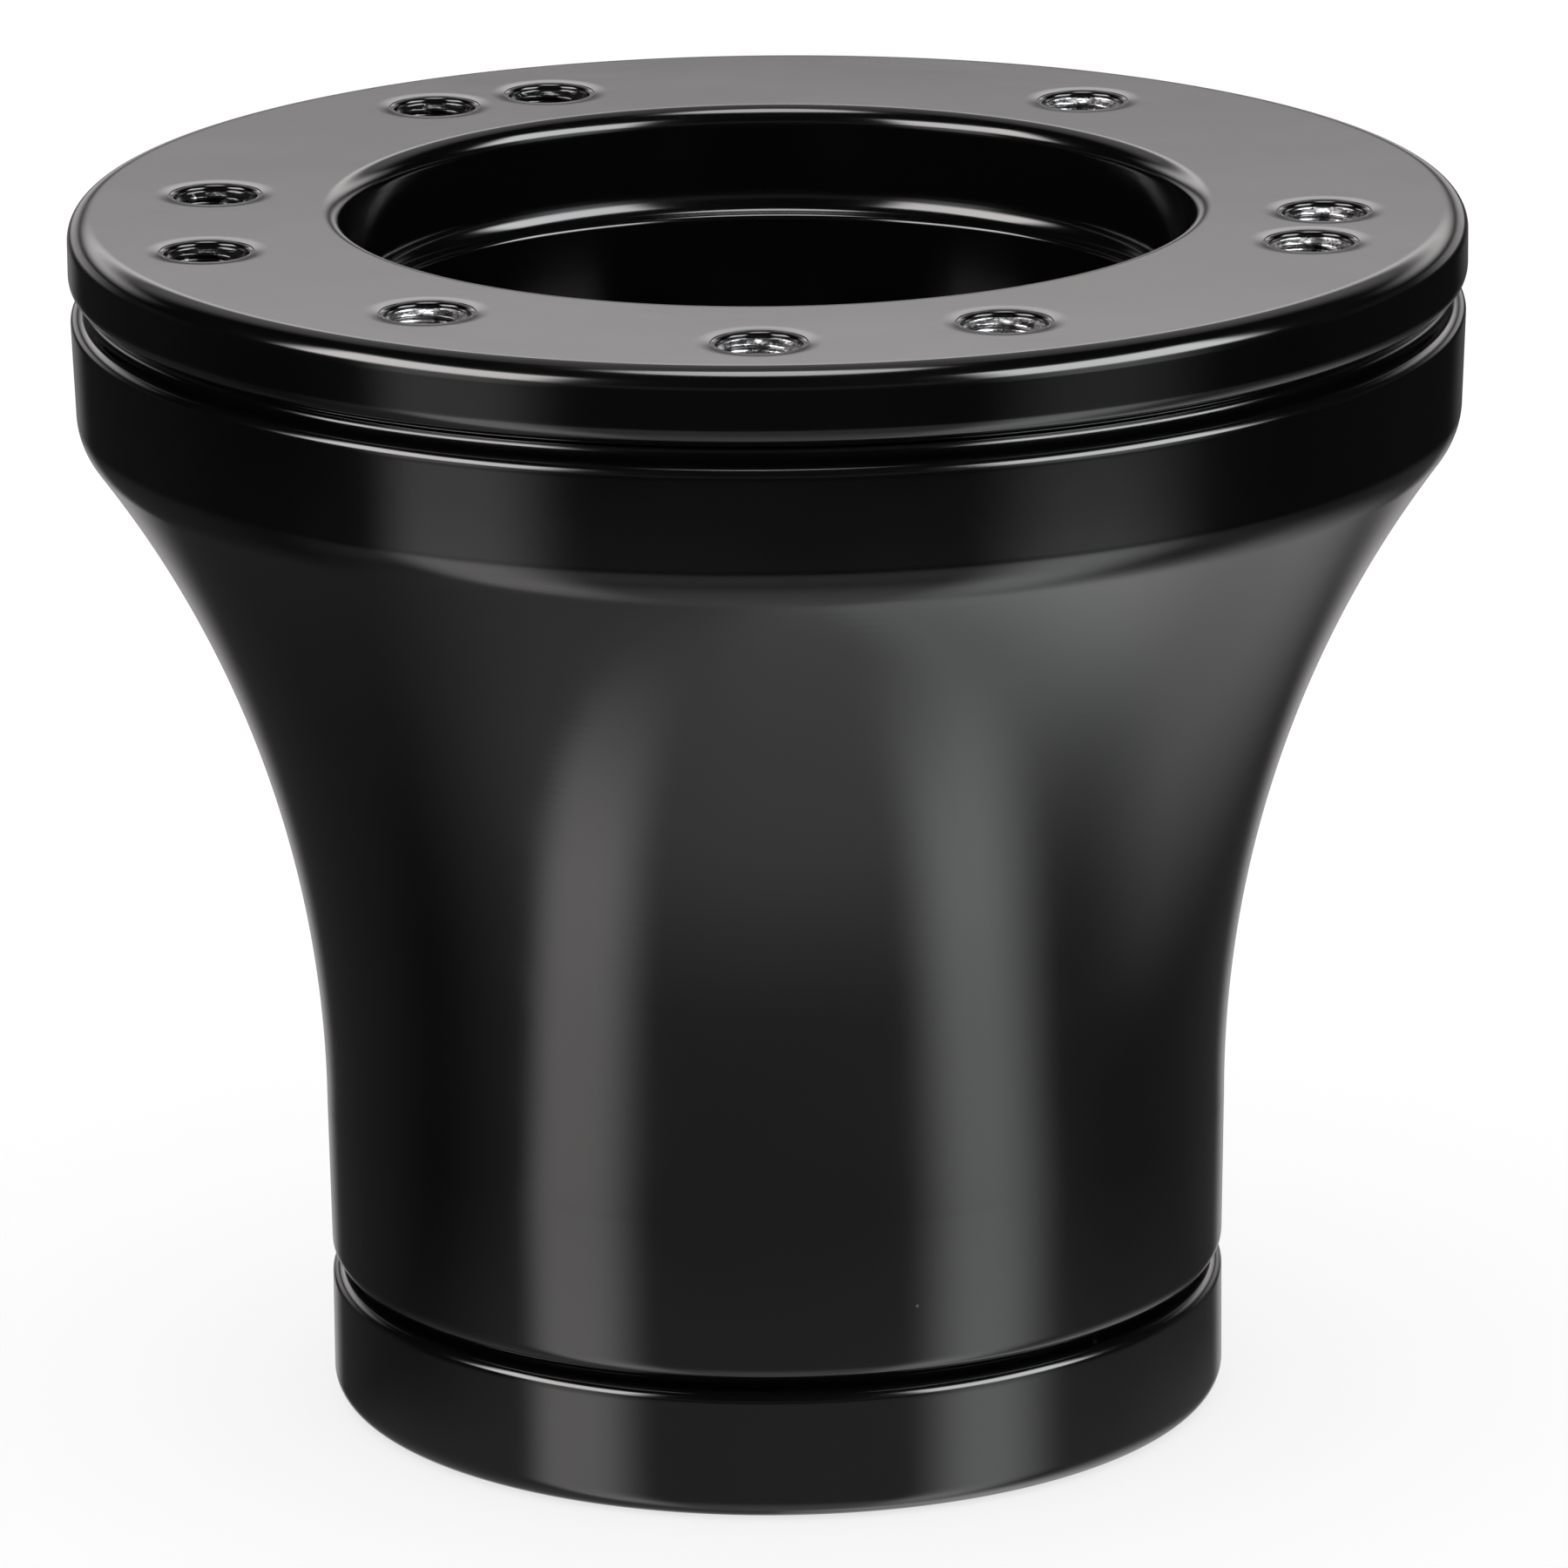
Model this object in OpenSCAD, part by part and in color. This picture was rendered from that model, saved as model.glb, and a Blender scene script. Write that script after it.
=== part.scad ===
// Steering wheel hub adapter: a drilled wheel flange, a flared sleeve and a base collar,
// clamped to a splined steel boss, with a sprung horn contact and its leads inside.
// Millimetres. +Z is the hub's axis, the wheel side is up, and z = 0 is the base rim.

/* [Overall] */
// Height from the base rim to the wheel face
height = 77.6; // [76.6:0.1:79]
// Outer diameter of the wheel flange
flange_d = 87.9; // [87.6:0.1:88.4]
// Outer diameter of the sleeve's upper band
band_d = 87.7; // [87.4:0.1:88]
// Outer diameter of the sleeve's neck
neck_d = 57.5; // [57.3:0.1:58.2]
// Outer diameter of the base collar
collar_d = 57.2; // [57:0.1:57.6]

/* [Wheel flange] */
// Edge thickness of the flange, above the upper groove
flange_edge = 4.9; // [4.4:0.1:5.4]
// Full thickness of the flange with its spigot
flange_t = 13.5; // [13:0.5:14]
// Rounding of the flange's upper outer edge
flange_round = 1.5; // [1:0.1:2]
// Radius of the horn button bore
bore_r = 26.7; // [26.5:0.1:27]
// Rounding of the bore's rim
bore_round = 0.9; // [0.6:0.1:1.2]
// Depth of the ledge that the horn button rests on
ledge_depth = 6.8; // [6:0.1:7.5]
// Width of the ledge
ledge_w = 1.2; // [1.1:0.1:1.3]

/* [Wheel holes] */
// Radius of the six-hole circle
six_r = 35; // [34.8:0.1:35.2]
// Radius of the five-hole circle, which shares one hole with the six
five_r = 35.9; // [35.6:0.1:36.1]
// Direction of the shared hole
shared_angle = 54; // [52:1:56]
// Tapping radius of a wheel hole
wheel_hole_r = 2.1; // [2:0.05:2.2]

/* [Sleeve] */
// Radius of the concave flare
flare_r = 74.4; // [74:0.2:75]
// Slope of the flare where it meets the upper band, from the axis
flare_angle = 35.9; // [35:0.1:36.5]
// Height at which the flare ends in the neck
neck_z = 19.2; // [18.8:0.1:19.6]
// Rounding between the band and the flare
band_round = 4; // [3:0.5:5]
// Wall of the sleeve
wall = 3.6; // [3.4:0.1:3.7]
// Thickness of the shoulder under the flange
shoulder_t = 4; // [3.5:0.5:4]

/* [Base] */
// Height of the base collar at its rim
collar_h = 8.55; // [8.3:0.05:8.8]
// Depth of the recess under the collar
recess_h = 5; // [4.5:0.1:5]
// Radius of the recess under the collar
recess_r = 24.5; // [24.3:0.1:24.8]

/* [Splined boss] */
// Number of splines
spline_n = 36; // [24:1:40]
// Radius over the spline roots
spline_root_r = 8.6; // [8.2:0.1:8.7]
// Radius over the spline tips
spline_tip_r = 7.8; // [7.4:0.1:7.9]
// Radius of the plain bore below the splines
pilot_r = 8.8; // [8.8:0.05:9]
// Circle radius of the boss screws and of what stands between them
boss_circle_r = 19.4; // [19.2:0.1:19.5]

/* [Horn contact] */
// Travel of the horn contact plunger
plunger_travel = 3; // [2:0.5:3]
// Turns of the plunger spring
spring_turns = 9; // [6:1:11]
// Diameter of the leads
lead_d = 2.2; // [1.8:0.1:2.4]

/* [Hidden] */
$fn = 96;

// Gap that shows at the bottom of each groove
seam = 0.3;
// Rounding of the two lips of each groove
lip_round = 0.8;
// Radial clearance of a located fit
fit_gap = 0.05;
flange_z = height - flange_t;
flange_edge_z = height - flange_edge;
spigot_r = band_d / 2 - wall;
band_top_z = flange_edge_z - seam;
shoulder_r = 26;
neck_r = neck_d / 2;
flare_centre = [neck_r + flare_r, neck_z];
flare_top = flare_centre + flare_r * [-cos(flare_angle), sin(flare_angle)];
band_centre = flare_top + band_round * [-cos(flare_angle), sin(flare_angle)];
// Draft of the neck, as radius lost at its lower end
neck_draft = 0.15;
shoulder_z = flange_z - shoulder_t;
hollow_angle = asin((shoulder_z - neck_z) / (flare_r + wall));
sleeve_z = collar_h + seam;
web_top_z = 14;
collar_edge_round = 1.4;
ledge_round = 0.5;

// Boss stack
boss_pilot_r = 14.6;
boss_flange_r = 23.9;
boss_flange_top_z = web_top_z + 4.6;
boss_hub_r = 12.5;
boss_top_z = 34;
nut_seat_r = 9.6;
nut_seat_z = 31;
spline_z = recess_h + 5;

// Screws: shank radius, head radius, head height and socket size across flats
m5 = [2.5, 4.25, 5, 4];
m4 = [2, 3.5, 4, 3];
clear_gap = 0.25;
washer_t = 1;
flange_screw_r = 30.2;
flange_screw_reach = 9;
flange_screw_angles = [for (i = [0:5]) shared_angle - 30 + 60 * i];
dowel_angles = [shared_angle, shared_angle + 180];
dowel_r = 1.5;
boss_screw_angles = [for (i = [0:5]) 60 * i];
collar_screw_angles = [30, 150, 270];
collar_head_r = 3.8;
cam_screw_angles = [210, 330];
cam_screw_r = 1.5;
cam_head_r = 2.75;
cam_head_h = 1.6;

// Cancel cam
cam_z = 2.2;
cam_inner_r = 15.2;
cam_outer_r = 22.8;
cam_rim_z = 1;
cam_lobe_w = 8;

// Horn contact, on its own axis
plunger_angle = 90;
tower_r = 3.6;
tower_nose_r = 2.6;
tower_z = 3.6;
tower_top_z = 26;
tower_collar_r = 4.4;
tower_collar_t = 1.4;
pin_head_r = 2;
pin_tip_r = 1.4;
// A fifth of a millimetre of the tip stays proud when the plunger is pushed in
pin_tip_z = tower_z - plunger_travel - 0.2;
pin_stop_z = 5.6;
pin_head_top_z = 11;
pin_tail_r = 0.8;
spring_wire_r = 0.25;
spring_mean_r = 1.45;
spring_top_z = 23.5;
tab_w = 4.8;
tab_t = 0.8;
tab_top_z = 33;

// Leads and their fittings
plug_h = 8;
plug_w = 6.4;
plug_t = 3.2;
socket_z = 27.4;
earth_angle = 150;
earth_tag_t = 0.8;
barrel_r = 1.4;
barrel_circle_r = 14.2;
barrel_top_z = 25;
clip_angle = 120;
clip_z = 45;
clip_h = 5;
clip_w = 12;
clip_inner_r = 24.2;
clip_screw_end_r = 32;
lead_end_z = 51.6;
// The two leads stand side by side in the clip
lead_stand_r = 26.2;
lead_gap = 7;
clip_out = [cos(clip_angle), sin(clip_angle)];
clip_side = [-clip_out[1], clip_out[0]];
horn_stand = lead_stand_r * clip_out - lead_gap / 2 * clip_side;
earth_stand = lead_stand_r * clip_out + lead_gap / 2 * clip_side;
horn_route = [
    [0, boss_circle_r, socket_z + plug_h + fit_gap],
    [0, boss_circle_r, 37.4],
    [-1.6, 20.3, 39.6],
    [-5, 22, 41.4],
    [-8.4, 23.6, 43],
    [horn_stand[0], horn_stand[1], 44.6],
    [horn_stand[0], horn_stand[1], 48],
    [horn_stand[0], horn_stand[1], lead_end_z]
];
earth_route = [
    [barrel_circle_r * cos(earth_angle), barrel_circle_r * sin(earth_angle), barrel_top_z],
    [-12.4, 7.2, 28],
    [-13.6, 9.2, 32.5],
    [-15.2, 13.5, 37.5],
    [-16.1, 18.4, 41.8],
    [earth_stand[0], earth_stand[1], 44.6],
    [earth_stand[0], earth_stand[1], 48],
    [earth_stand[0], earth_stand[1], lead_end_z]
];

// Points along an arc of radius r about c, from angle a to angle b
function arc(c, r, a, b, steps) =
    [for (i = [0:steps]) c + r * [cos(a + (b - a) * i / steps), sin(a + (b - a) * i / steps)]];

// Centre of the five-hole circle, so that its first hole is also one of the six
five_centre = (six_r - five_r) * [cos(shared_angle), sin(shared_angle)];
six_holes = [for (i = [0:5]) six_r * [cos(shared_angle + 60 * i), sin(shared_angle + 60 * i)]];
five_holes = [for (i = [1:4])
    five_centre + five_r * [cos(shared_angle + 72 * i), sin(shared_angle + 72 * i)]];
wheel_holes = concat(six_holes, five_holes);

// Point u of the way along a smooth curve through the route's points
function route_point(p, u) = let (
    last = len(p) - 1,
    s = min(u * last, last - 0.0001),
    i = floor(s),
    t = s - i,
    a = p[max(i - 1, 0)],
    b = p[i],
    c = p[i + 1],
    d = p[min(i + 2, last)]
) 0.5 * (2 * b + (c - a) * t + (2 * a - 5 * b + 4 * c - d) * t * t + (3 * b - a - 3 * c + d) * t * t * t);

function smooth_route(p, n) = [for (i = [0:n]) route_point(p, i / n)];

function unit(v) = v / norm(v);

// One round rod swept along points; up is never parallel to the path
module swept_rod(points, r, sides, up) {
    n = len(points);
    rings = [for (i = [0:n - 1]) let (
        along = unit(points[min(i + 1, n - 1)] - points[max(i - 1, 0)]),
        side = unit(cross(along, up)),
        over = cross(side, along)
    ) for (k = [0:sides - 1]) points[i] + r * (cos(360 * k / sides) * side + sin(360 * k / sides) * over)];
    start = [[for (k = [0:sides - 1]) sides - 1 - k]];
    finish = [[for (k = [0:sides - 1]) (n - 1) * sides + k]];
    skin = [for (i = [0:n - 2]) for (k = [0:sides - 1]) let (m = (k + 1) % sides)
        each [[i * sides + k, i * sides + m, (i + 1) * sides + m], [i * sides + k, (i + 1) * sides + m, (i + 1) * sides + k]]];
    polyhedron(points = rings, faces = concat(start, finish, skin), convexity = 10);
}

// Places its children at radius r in direction a
module at(r, a) {
    rotate([0, 0, a]) translate([r, 0, 0]) children();
}

// Places its children on the clip screw's axis, with +Z pointing out to the wall
module clip_axis() {
    rotate([0, 0, clip_angle]) translate([0, 0, clip_z + clip_h / 2]) rotate([0, 90, 0]) children();
}

// A drilled hole from z0 to z1
module hole(r, z0, z1) {
    translate([0, 0, z0]) cylinder(r = r, h = z1 - z0);
}

// Socket head cap screw with its head's underside at z = 0, pointing down
module cap_screw(size, reach) {
    difference() {
        union() {
            translate([0, 0, -reach]) cylinder(r = size[0], h = reach);
            cylinder(r = size[1], h = size[2] - 0.4);
            translate([0, 0, size[2] - 0.4]) cylinder(r1 = size[1], r2 = size[1] - 0.4, h = 0.4);
        }
        translate([0, 0, size[2] / 2]) cylinder(r = size[3] / sqrt(3), h = size[2], $fn = 6);
    }
}

// Cross recess cut up into a pan head whose face is at z = 0
module cross_slot() {
    for (turn = [0, 90]) rotate([0, 0, turn]) translate([-1.5, -0.3, -0.1]) cube([3, 0.6, 1]);
}

// Flange: bore with the horn button ledge, rounded rim, plate and spigot
module flange_profile() {
    low_r = bore_r - ledge_w;
    ledge_z = height - ledge_depth;
    outer = flange_d / 2;
    polygon(concat(
        [[spigot_r - fit_gap, flange_z], [spigot_r - fit_gap, flange_edge_z]],
        arc([outer - lip_round, flange_edge_z + lip_round], lip_round, -90, 0, 6),
        arc([outer - flange_round, height - flange_round], flange_round, 0, 90, 10),
        arc([bore_r + bore_round, height - bore_round], bore_round, 90, 180, 8),
        arc([bore_r - ledge_round, ledge_z + ledge_round], ledge_round, 0, -90, 6),
        arc([low_r + ledge_round, ledge_z - ledge_round], ledge_round, 90, 180, 6),
        [[low_r, flange_z]]
    ));
}

module wheel_flange() color("#1b1b1c") {
    difference() {
        rotate_extrude() flange_profile();
        for (p = wheel_holes) translate([p[0], p[1], 0]) hole(wheel_hole_r, flange_z - 1, height + 1);
        for (a = flange_screw_angles)
            at(flange_screw_r, a) hole(m4[0], flange_z - 1, shoulder_z + flange_screw_reach + 1);
        for (a = dowel_angles) at(flange_screw_r, a) hole(dowel_r, flange_z - 1, flange_z + 6);
    }
}

// Inner wall of the sleeve's hollow, from under the shoulder down to the web
function hollow_wall() = concat(
    arc(flare_centre, flare_r + wall, 180 - hollow_angle, 180, 20),
    [[neck_r - wall, web_top_z]]
);

// Sleeve: upper band, flare and neck outside; counterbore, shoulder, flared hollow and web inside
module sleeve_profile() {
    band_r = band_d / 2;
    foot_r = neck_r - neck_draft;
    polygon(concat(
        [[boss_pilot_r, sleeve_z]],
        arc([foot_r - lip_round, sleeve_z + lip_round], lip_round, -90, 0, 6),
        arc(flare_centre, flare_r, 180, 180 - flare_angle, 24),
        arc(band_centre, band_round, -flare_angle, 0, 8),
        arc([band_r - lip_round, band_top_z - lip_round], lip_round, 0, 90, 6),
        [[spigot_r, band_top_z], [spigot_r, flange_z], [shoulder_r, flange_z], [shoulder_r, shoulder_z]],
        hollow_wall(),
        [[boss_pilot_r, web_top_z]]
    ));
}

module flared_sleeve() color("#161617") {
    difference() {
        rotate_extrude() sleeve_profile();
        for (a = flange_screw_angles)
            at(flange_screw_r, a) hole(m4[0] + clear_gap, shoulder_z - 1, flange_z + 1);
        for (a = dowel_angles) at(flange_screw_r, a) hole(dowel_r, shoulder_z - 1, flange_z + 1);
        for (a = boss_screw_angles) at(boss_circle_r, a) hole(m5[0] + clear_gap, sleeve_z - 1, web_top_z + 1);
        for (a = collar_screw_angles) at(boss_circle_r, a) hole(m4[0], sleeve_z - 1, web_top_z - 0.5);
        at(boss_circle_r, plunger_angle) hole(tower_r + fit_gap, sleeve_z - 1, web_top_z + 1);
        clip_axis() cylinder(r = cam_screw_r, h = clip_screw_end_r);
    }
}

// Collar: rim with rounded edges, recess below and a plate that meets the sleeve's web
module collar_profile() {
    outer = collar_d / 2;
    polygon(concat(
        [[boss_pilot_r, recess_h], [recess_r, recess_h]],
        arc([recess_r + 0.6, 0.6], 0.6, 180, 270, 4),
        arc([outer - collar_edge_round, collar_edge_round], collar_edge_round, -90, 0, 8),
        arc([outer - lip_round, collar_h - lip_round], lip_round, 0, 90, 6),
        [[outer - 2 * lip_round, collar_h], [outer - 2 * lip_round, sleeve_z], [boss_pilot_r, sleeve_z]]
    ));
}

module base_collar() color("#161617") {
    difference() {
        rotate_extrude() collar_profile();
        for (a = boss_screw_angles) at(boss_circle_r, a) hole(m5[0], recess_h - 1, sleeve_z + 1);
        for (a = collar_screw_angles) at(boss_circle_r, a) {
            hole(m4[0], recess_h - 1, sleeve_z + 1);
            translate([0, 0, recess_h]) cylinder(r1 = collar_head_r, r2 = m4[0], h = collar_head_r - m4[0]);
        }
        for (a = cam_screw_angles) at(boss_circle_r, a) hole(cam_screw_r, recess_h - 1, sleeve_z + 1);
        at(boss_circle_r, plunger_angle) hole(tower_r + fit_gap, recess_h - 1, sleeve_z + 1);
    }
}

// Outline of the splined hole: even points on the root circle, odd points on the tip circle
module spline_outline() {
    step = 360 / (4 * spline_n);
    polygon([for (i = [0:4 * spline_n - 1]) let (r = i % 4 < 2 ? spline_root_r : spline_tip_r)
        r * [cos(i * step), sin(i * step)]]);
}

module splined_boss() color("#8d9095") {
    difference() {
        rotate_extrude() polygon([
            [spline_tip_r - 1, recess_h],
            [boss_pilot_r - fit_gap - 0.5, recess_h],
            [boss_pilot_r - fit_gap, recess_h + 0.5],
            [boss_pilot_r - fit_gap, web_top_z],
            [boss_flange_r, web_top_z],
            [boss_flange_r, boss_flange_top_z - 0.6],
            [boss_flange_r - 0.6, boss_flange_top_z],
            [boss_hub_r, boss_flange_top_z],
            [boss_hub_r, boss_top_z - 1],
            [boss_hub_r - 1, boss_top_z],
            [spline_tip_r - 1, boss_top_z]
        ]);
        hole(pilot_r, recess_h - 1, spline_z);
        translate([0, 0, spline_z - 1]) linear_extrude(nut_seat_z - spline_z + 2) spline_outline();
        hole(nut_seat_r, nut_seat_z, boss_top_z + 1);
        for (a = boss_screw_angles)
            at(boss_circle_r, a) hole(m5[0] + clear_gap, web_top_z - 1, boss_flange_top_z + 1);
        at(boss_circle_r, plunger_angle) hole(tower_r + fit_gap, web_top_z - 1, boss_flange_top_z + 1);
        at(boss_circle_r, earth_angle) hole(m4[0], web_top_z - 1, boss_flange_top_z + 1);
    }
}

module boss_screws() color("#55585c") {
    for (a = boss_screw_angles)
        at(boss_circle_r, a) translate([0, 0, boss_flange_top_z + washer_t])
            cap_screw(m5, boss_flange_top_z + washer_t - recess_h - 0.4);
}

module boss_washers() color("#a9acb0") {
    for (a = boss_screw_angles) at(boss_circle_r, a) difference() {
        hole(m5[1] + 0.15, boss_flange_top_z, boss_flange_top_z + washer_t);
        hole(m5[0] + 0.1, boss_flange_top_z - 1, boss_flange_top_z + washer_t + 1);
    }
}

module flange_screws() color("#55585c") {
    for (a = flange_screw_angles)
        at(flange_screw_r, a) translate([0, 0, shoulder_z]) mirror([0, 0, 1])
            cap_screw(m4, flange_screw_reach);
}

module flange_dowels() color("#c2c5c9") {
    for (a = dowel_angles) at(flange_screw_r, a) hole(dowel_r, shoulder_z, flange_z + 5.5);
}

// Countersunk screws from below, flush with the recess
module collar_screws() color("#55585c") {
    for (a = collar_screw_angles) at(boss_circle_r, a) difference() {
        union() {
            translate([0, 0, recess_h]) cylinder(r1 = collar_head_r, r2 = m4[0], h = collar_head_r - m4[0]);
            hole(m4[0], recess_h + 1, web_top_z - 1);
        }
        translate([0, 0, recess_h - 0.1]) cylinder(r = 1.44, h = 1.6, $fn = 6);
    }
}

// Ring with two lobes that push the indicator switch back to centre
module cancel_cam() color("#e8e4d8") {
    difference() {
        union() {
            hole(cam_outer_r, cam_z, recess_h);
            hole(cam_inner_r + 1.4, cam_rim_z, recess_h);
            for (side = [0, 180]) rotate([0, 0, side]) intersection() {
                hole(recess_r - 0.5, cam_rim_z, recess_h);
                translate([cam_inner_r + 2, -cam_lobe_w / 2, cam_rim_z]) cube([10, cam_lobe_w, recess_h]);
            }
        }
        hole(cam_inner_r, 0, recess_h + 1);
        for (a = cam_screw_angles) at(boss_circle_r, a) hole(cam_screw_r + 0.1, 0, recess_h + 1);
        at(boss_circle_r, plunger_angle) hole(tower_nose_r + fit_gap, 0, recess_h + 1);
    }
}

module cam_screws() color("#a9acb0") {
    for (a = cam_screw_angles) at(boss_circle_r, a) difference() {
        union() {
            hole(cam_head_r, cam_z - cam_head_h, cam_z);
            hole(cam_screw_r, cam_z, sleeve_z - 0.4);
        }
        translate([0, 0, cam_z - cam_head_h]) cross_slot();
    }
}

// Insulating guide of the plunger, with a stop at its lower end and a collar on the boss
module plunger_tower() color("#d9d4c4") {
    at(boss_circle_r, plunger_angle) difference() {
        union() {
            hole(tower_nose_r, tower_z, tower_top_z);
            hole(tower_r, recess_h, tower_top_z);
            hole(tower_collar_r, boss_flange_top_z, boss_flange_top_z + tower_collar_t);
        }
        hole(pin_tip_r + fit_gap, tower_z - 1, tower_top_z);
        hole(pin_head_r + fit_gap, pin_stop_z, tower_top_z + 1);
    }
}

// Brass plunger: domed tip, head against the stop, and a tail inside the spring
module plunger_pin() color("#c9a24a") {
    at(boss_circle_r, plunger_angle) rotate_extrude() polygon(concat(
        [[0, pin_tip_z]],
        arc([0, pin_tip_z + pin_tip_r], pin_tip_r, -80, 0, 6),
        [
            [pin_tip_r, pin_stop_z + fit_gap],
            [pin_head_r, pin_stop_z + fit_gap],
            [pin_head_r, pin_head_top_z],
            [pin_tail_r, pin_head_top_z],
            [pin_tail_r, pin_head_top_z + 3],
            [0, pin_head_top_z + 3]
        ]
    ));
}

module plunger_spring() color("#b9bcc0") {
    low = pin_head_top_z + spring_wire_r;
    rise = spring_top_z - pin_head_top_z - 2 * spring_wire_r;
    steps = spring_turns * 14;
    at(boss_circle_r, plunger_angle)
        swept_rod([for (i = [0:steps]) [
            spring_mean_r * cos(360 * spring_turns * i / steps),
            spring_mean_r * sin(360 * spring_turns * i / steps),
            low + rise * i / steps
        ]], spring_wire_r, 6, [0, 0, 1]);
}

// Brass plug that closes the tower, with a blade for the socket
module plunger_terminal() color("#c9a24a") {
    at(boss_circle_r, plunger_angle) {
        hole(pin_head_r + fit_gap, spring_top_z, tower_top_z);
        hole(tower_r - 0.2, tower_top_z, tower_top_z + 1);
        translate([-tab_t / 2, -tab_w / 2, tower_top_z + 1])
            cube([tab_t, tab_w, tab_top_z - tower_top_z - 1]);
    }
}

// Insulated blade connector, open below, with its lead leaving at the top
module blade_socket(tab_room) {
    difference() {
        translate([-plug_t / 2, -plug_w / 2, 0]) cube([plug_t, plug_w, plug_h]);
        translate([-0.5, -tab_w / 2 - 0.1, -1]) cube([1, tab_w + 0.2, tab_room + 1]);
    }
}

module horn_socket() color("#8c1f1b") {
    at(boss_circle_r, plunger_angle) translate([0, 0, socket_z]) blade_socket(tab_top_z - socket_z + 0.4);
}

module horn_lead() color("#b3261e") {
    swept_rod(smooth_route(horn_route, 44), lead_d / 2, 8, [0.6, 0.8, 0.02]);
}

// Blade connector at the upper end of a lead, open towards the horn button
module upper_plug(stand) {
    translate([stand[0], stand[1], lead_end_z]) rotate([0, 0, clip_angle])
        translate([0, 0, plug_h]) mirror([0, 0, 1]) blade_socket(plug_h - 2.5);
}

module horn_plug() color("#8c1f1b") {
    upper_plug(horn_stand);
}

// Ring tag under the earth screw, with its crimp barrel bent up beside the boss
module earth_tag() color("#cfc9a0") {
    tongue = boss_circle_r - barrel_circle_r;
    at(boss_circle_r, earth_angle) difference() {
        union() {
            hole(m4[1] - 0.1, boss_flange_top_z, boss_flange_top_z + earth_tag_t);
            translate([-tongue, -barrel_r, boss_flange_top_z]) cube([tongue, 2 * barrel_r, earth_tag_t]);
            translate([-tongue, 0, 0]) hole(barrel_r, boss_flange_top_z, barrel_top_z);
        }
        hole(m4[0], boss_flange_top_z - 1, boss_flange_top_z + 2);
    }
}

module earth_screw() color("#a9acb0") {
    at(boss_circle_r, earth_angle) translate([0, 0, boss_flange_top_z + earth_tag_t])
        cap_screw(m4, boss_flange_top_z + earth_tag_t - web_top_z - 0.4);
}

module earth_lead() color("#20201f") {
    swept_rod(smooth_route(earth_route, 44), lead_d / 2, 8, [0.6, 0.8, 0.02]);
}

module earth_plug() color("#20201f") {
    upper_plug(earth_stand);
}

// Plastic saddle on the sleeve's inner wall, with a hole for each lead
module lead_clip() color("#2a2a2b") {
    difference() {
        intersection() {
            rotate([0, 0, clip_angle]) translate([clip_inner_r, -clip_w / 2, clip_z])
                cube([10, clip_w, clip_h]);
            rotate_extrude() polygon(concat([[0, web_top_z], [0, shoulder_z]], hollow_wall()));
        }
        for (stand = [horn_stand, earth_stand])
            translate([stand[0], stand[1], 0]) hole(lead_d / 2 + clear_gap, clip_z - 1, clip_z + clip_h + 1);
        clip_axis() cylinder(r = cam_screw_r, h = clip_screw_end_r);
    }
}

module clip_screw() color("#a9acb0") {
    clip_axis() difference() {
        union() {
            translate([0, 0, clip_inner_r - cam_head_h]) cylinder(r = cam_head_r, h = cam_head_h);
            translate([0, 0, clip_inner_r]) cylinder(r = cam_screw_r, h = clip_screw_end_r - clip_inner_r - 0.5);
        }
        translate([0, 0, clip_inner_r - cam_head_h]) cross_slot();
    }
}

wheel_flange();
flared_sleeve();
base_collar();
splined_boss();
boss_screws();
boss_washers();
flange_screws();
flange_dowels();
collar_screws();
cancel_cam();
cam_screws();
plunger_tower();
plunger_pin();
plunger_spring();
plunger_terminal();
horn_socket();
horn_lead();
horn_plug();
earth_tag();
earth_screw();
earth_lead();
earth_plug();
lead_clip();
clip_screw();
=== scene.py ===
"""Looks for the steering wheel hub adapter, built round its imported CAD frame.

Lengths here are in millimetres until they are scaled by MM, and z = 0 is the base rim.
"""

import math

import bmesh
import bpy
import numpy as np
from mathutils import Matrix, Vector
from mathutils.geometry import delaunay_2d_cdt


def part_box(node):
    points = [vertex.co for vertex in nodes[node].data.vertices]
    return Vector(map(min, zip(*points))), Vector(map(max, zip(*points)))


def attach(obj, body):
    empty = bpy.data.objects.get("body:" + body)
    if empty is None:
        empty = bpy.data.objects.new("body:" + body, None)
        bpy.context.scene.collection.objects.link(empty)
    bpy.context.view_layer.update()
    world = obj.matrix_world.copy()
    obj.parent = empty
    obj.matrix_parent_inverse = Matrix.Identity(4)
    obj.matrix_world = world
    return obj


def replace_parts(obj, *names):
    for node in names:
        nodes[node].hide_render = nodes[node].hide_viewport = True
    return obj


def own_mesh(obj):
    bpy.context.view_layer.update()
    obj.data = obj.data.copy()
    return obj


MM = 0.001
MICRON = 1e-6

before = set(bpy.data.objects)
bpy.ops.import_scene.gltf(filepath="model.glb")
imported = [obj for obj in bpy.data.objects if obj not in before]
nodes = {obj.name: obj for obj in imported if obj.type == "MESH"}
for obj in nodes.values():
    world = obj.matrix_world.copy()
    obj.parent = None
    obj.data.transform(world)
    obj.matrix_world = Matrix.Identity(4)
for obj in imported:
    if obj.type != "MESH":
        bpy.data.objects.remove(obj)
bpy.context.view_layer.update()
scene = bpy.context.scene


# ---------------------------------------------------------------- sizes from the CAD frame


def extent(node):
    """Lowest and highest corner of a CAD node in millimetres, to a hundredth."""
    return [[round(value / MM, 2) for value in corner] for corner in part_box(node)]


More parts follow.
